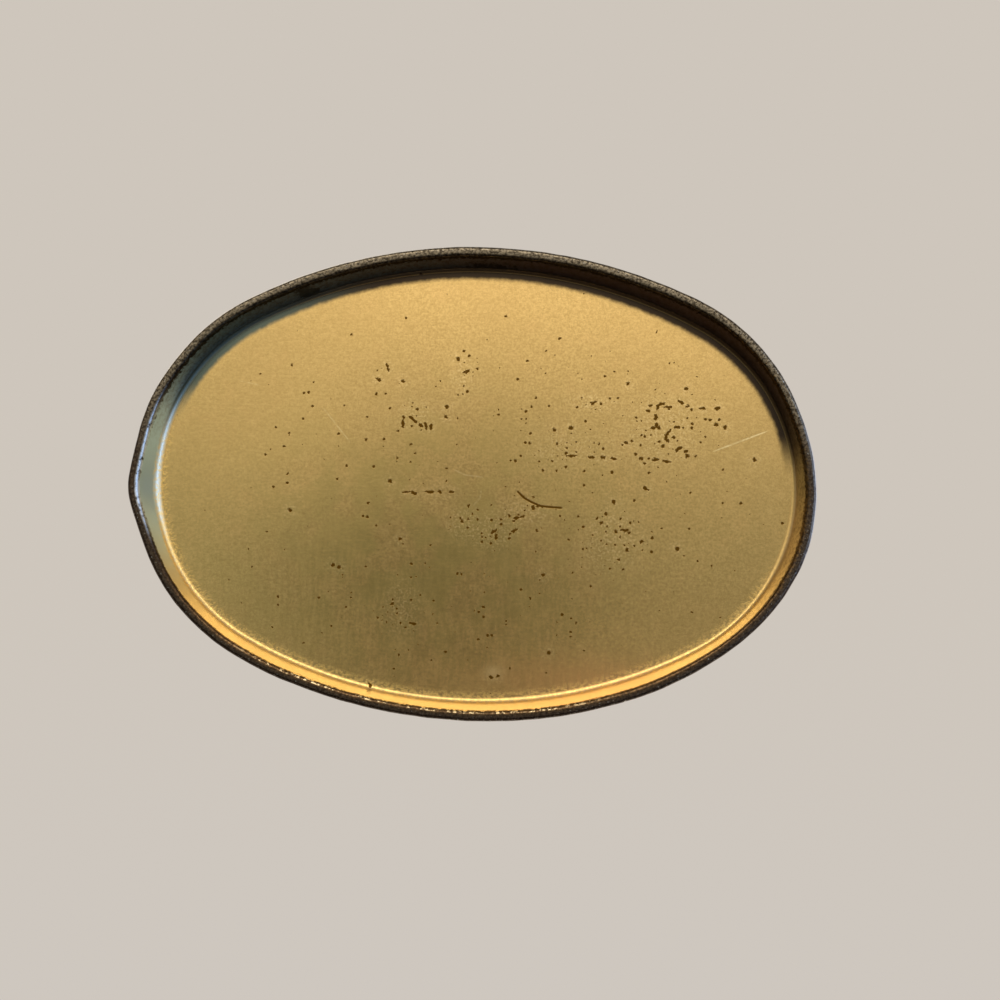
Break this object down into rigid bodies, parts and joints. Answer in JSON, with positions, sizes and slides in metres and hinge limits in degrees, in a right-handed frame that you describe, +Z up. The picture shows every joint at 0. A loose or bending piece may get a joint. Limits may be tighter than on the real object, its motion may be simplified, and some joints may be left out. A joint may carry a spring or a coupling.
{
  "type": "tea tin",
  "caption": "Oval tinplate tea tin with a countersunk, gold-lacquered base in a double seam, a dark lacquered body and a slip lid that lifts off a neck collar.",
  "frame": {"origin": "middle of the base, at the level of the base seam's crest that the tin stands on", "axes": "+Z up through the lid, +X along the oval's long axis with the side seam at -X, +Y across it"},
  "size_m": [0.1, 0.0694, 0.11],
  "materials": {
    "brown_lacquer": "worn satin lacquer",
    "gold_lacquer": "glossy transparent gold lacquer on tinplate, speckled with rust",
    "tinplate": "bare bright tinplate",
    "solder": "dull soft solder",
    "compound": "matt sealing compound"
  },
  "bodies": {
    "tin": {"body_wall": "brown_lacquer", "side_seam_solder": "solder", "base_end": "gold_lacquer", "base_seam_compound": "compound", "neck_collar": "tinplate"},
    "lid": {"lid_cap": "brown_lacquer"}
  },
  "joints": [
    {"name": "lid_lift", "type": "slide", "parent": "tin", "child": "lid", "axis": [0, 0, 1], "range_m": [0, 0.04]}
  ]
}
